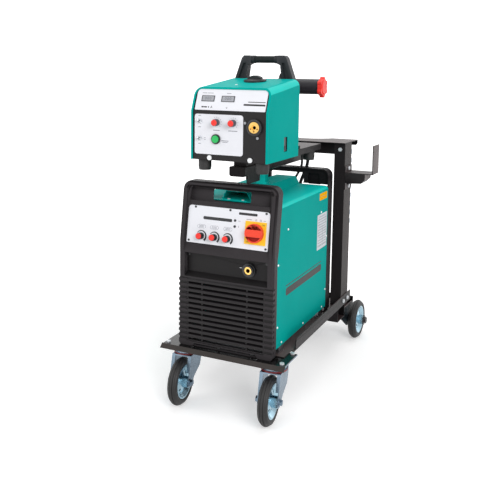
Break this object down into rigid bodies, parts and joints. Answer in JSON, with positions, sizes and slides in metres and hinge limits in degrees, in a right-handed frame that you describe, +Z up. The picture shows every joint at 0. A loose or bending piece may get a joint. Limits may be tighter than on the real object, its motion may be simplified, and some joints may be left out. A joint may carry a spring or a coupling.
{
  "type": "mig welder on cart",
  "caption": "MIG welding power source on a wheeled trolley, with a wire feeder on an arm above it, a cable hook and a gas cylinder shelf.",
  "frame": {"origin": "bottom centre of the bounding box, on the floor", "axes": "+Z up, -Y is the front with the control panels, +X is the right-hand side seen from behind the panels"},
  "size_m": [0.5174, 0.9576, 1.101],
  "materials": {
    "trolley_paint": "satin black",
    "zinc": "zinc plated",
    "steel": "plain steel",
    "rim_zinc": "blue zinc plated",
    "tyre_rubber": "matt",
    "foot_rubber": "matt",
    "teal_paint": "semi-gloss",
    "frame_plastic": "fine grain",
    "dark_panel": "satin",
    "white_panel": "satin",
    "red_plastic": "satin",
    "switch_red": "satin",
    "green_plastic": "satin",
    "brass": "polished",
    "aluminium": "plain",
    "copper_winding": "varnished",
    "black_plastic": "satin",
    "handle_grey": "grain",
    "cable_rubber": "matt",
    "chrome": "bright"
  },
  "bodies": {
    "trolley": {"front_plate": "trolley_paint", "side_rails": "trolley_paint", "rear_columns": "trolley_paint", "crossbar": "trolley_paint", "feeder_arm": "trolley_paint", "rear_beam": "trolley_paint", "cylinder_shelf": "trolley_paint", "rear_axle": "zinc", "hook_bracket": "trolley_paint", "retaining_chain": "zinc", "hex_bolts": "zinc", "caster_plates": "zinc", "source_chassis": "steel", "source_cover": "teal_paint", "front_bezel": "frame_plastic", "front_grille": "frame_plastic", "rear_bezel": "frame_plastic", "rear_panel": "dark_panel", "control_panel": "white_panel", "output_socket": "brass", "top_bridge": "teal_paint", "heatsink": "aluminium", "transformer": "copper_winding", "panel_screws": "zinc", "feeder_base": "trolley_paint", "feeder_cover": "teal_paint", "feeder_front": "dark_panel", "feeder_panels": "white_panel", "torch_socket": "brass", "feeder_feet": "foot_rubber", "feeder_handle": "handle_grey", "spool_bracket": "trolley_paint", "drive_unit": "steel", "weld_cable": "cable_rubber", "control_cable": "cable_rubber"},
    "fork_left": {"caster_fork_left": "zinc"},
    "fork_right": {"caster_fork_right": "zinc"},
    "wheel_front_left": {"front_tyre_left": "tyre_rubber", "front_rim_left": "rim_zinc"},
    "wheel_front_right": {"front_tyre_right": "tyre_rubber", "front_rim_right": "rim_zinc"},
    "wheel_rear_left": {"rear_tyre_left": "tyre_rubber", "rear_rim_left": "rim_zinc"},
    "wheel_rear_right": {"rear_tyre_right": "tyre_rubber", "rear_rim_right": "rim_zinc"},
    "switch_knob": {"main_switch": "switch_red"},
    "current_knob": {"knob_left": "red_plastic"},
    "arc_knob": {"knob_centre": "red_plastic"},
    "crater_knob": {"knob_right": "red_plastic"},
    "fan": {"fan_rotor": "black_plastic"},
    "toggle_a": {"toggle_lower": "chrome"},
    "toggle_b": {"toggle_upper": "chrome"},
    "wire_knob": {"feeder_knob_left": "red_plastic"},
    "volt_knob": {"feeder_knob_right": "red_plastic"},
    "button": {"push_button": "green_plastic"},
    "lock": {"cover_lock": "black_plastic"},
    "hub": {"spool_hub": "black_plastic"},
    "hub_nut": {"spool_nut": "red_plastic"},
    "roll": {"drive_roll": "steel"},
    "arm": {"pressure_arm": "steel"}
  },
  "joints": [
    {"name": "swivel_left", "type": "hinge", "parent": "trolley", "child": "fork_left", "pos_m": [-0.18535, -0.35821, 0.164], "axis": [0, 0, 1], "continuous": true},
    {"name": "roll_front_left", "type": "hinge", "parent": "fork_left", "child": "wheel_front_left", "pos_m": [-0.18134, -0.40403, 0.075], "axis": [0.9962, 0.0872, 0], "continuous": true},
    {"name": "roll_rear_left", "type": "hinge", "parent": "trolley", "child": "wheel_rear_left", "pos_m": [-0.21835, 0.40379, 0.075], "axis": [1, 0, 0], "continuous": true},
    {"name": "swivel_right", "type": "hinge", "parent": "trolley", "child": "fork_right", "pos_m": [0.11865, -0.35821, 0.164], "axis": [0, 0, 1], "continuous": true},
    {"name": "roll_front_right", "type": "hinge", "parent": "fork_right", "child": "wheel_front_right", "pos_m": [0.12266, -0.40403, 0.075], "axis": [0.9962, 0.0872, 0], "continuous": true},
    {"name": "roll_rear_right", "type": "hinge", "parent": "trolley", "child": "wheel_rear_right", "pos_m": [0.15165, 0.40379, 0.075], "axis": [1, 0, 0], "continuous": true},
    {"name": "turn_current", "type": "hinge", "parent": "trolley", "child": "current_knob", "pos_m": [-0.12035, -0.38725, 0.54656], "axis": [0, -0.9881, 0.1536], "range_deg": [-135, 135]},
    {"name": "turn_arc", "type": "hinge", "parent": "trolley", "child": "arc_knob", "pos_m": [-0.07535, -0.38725, 0.54656], "axis": [0, -0.9881, 0.1536], "range_deg": [-135, 135]},
    {"name": "turn_crater", "type": "hinge", "parent": "trolley", "child": "crater_knob", "pos_m": [-0.03035, -0.38725, 0.54656], "axis": [0, -0.9881, 0.1536], "range_deg": [-135, 135]},
    {"name": "turn_switch", "type": "hinge", "parent": "trolley", "child": "switch_knob", "pos_m": [0.06065, -0.38656, 0.57378], "axis": [0, -0.9881, 0.1536], "range_deg": [0, 90]},
    {"name": "spin_fan", "type": "hinge", "parent": "trolley", "child": "fan", "pos_m": [-0.03335, 0.04179, 0.444], "axis": [0, 1, 0], "continuous": true},
    {"name": "flip_toggle_a", "type": "hinge", "parent": "trolley", "child": "toggle_a", "pos_m": [-0.13135, -0.37721, 0.846], "axis": [1, 0, 0], "range_deg": [0, 28]},
    {"name": "flip_toggle_b", "type": "hinge", "parent": "trolley", "child": "toggle_b", "pos_m": [-0.13135, -0.37721, 0.898], "axis": [1, 0, 0], "range_deg": [0, 28]},
    {"name": "turn_wire", "type": "hinge", "parent": "trolley", "child": "wire_knob", "pos_m": [-0.07335, -0.38021, 0.896], "axis": [0, -1, 0], "range_deg": [-135, 135]},
    {"name": "turn_volt", "type": "hinge", "parent": "trolley", "child": "volt_knob", "pos_m": [-0.01835, -0.38021, 0.896], "axis": [0, -1, 0], "range_deg": [-135, 135]},
    {"name": "press_button", "type": "slide", "parent": "trolley", "child": "button", "axis": [0, 1, 0], "range_m": [0, 0.003], "stiffness_N_per_m": 400, "springref_m": -0.002},
    {"name": "turn_lock", "type": "hinge", "parent": "trolley", "child": "lock", "pos_m": [-0.02835, -0.20621, 1.01755], "axis": [0, -0.115, 0.9934], "range_deg": [0, 90]},
    {"name": "spin_hub", "type": "hinge", "parent": "trolley", "child": "hub", "pos_m": [0.02865, 0.02879, 0.999], "axis": [1, 0, 0], "continuous": true},
    {"name": "turn_nut", "type": "hinge", "parent": "hub", "child": "hub_nut", "pos_m": [0.11265, 0.02879, 0.999], "axis": [1, 0, 0], "range_deg": [0, 360]},
    {"name": "spin_roll", "type": "hinge", "parent": "trolley", "child": "roll", "pos_m": [0.05165, -0.30121, 0.8704], "axis": [1, 0, 0], "continuous": true},
    {"name": "lift_arm", "type": "hinge", "parent": "trolley", "child": "arm", "pos_m": [0.05165, -0.26121, 0.898], "axis": [1, 0, 0], "range_deg": [-60, 0]}
  ]
}
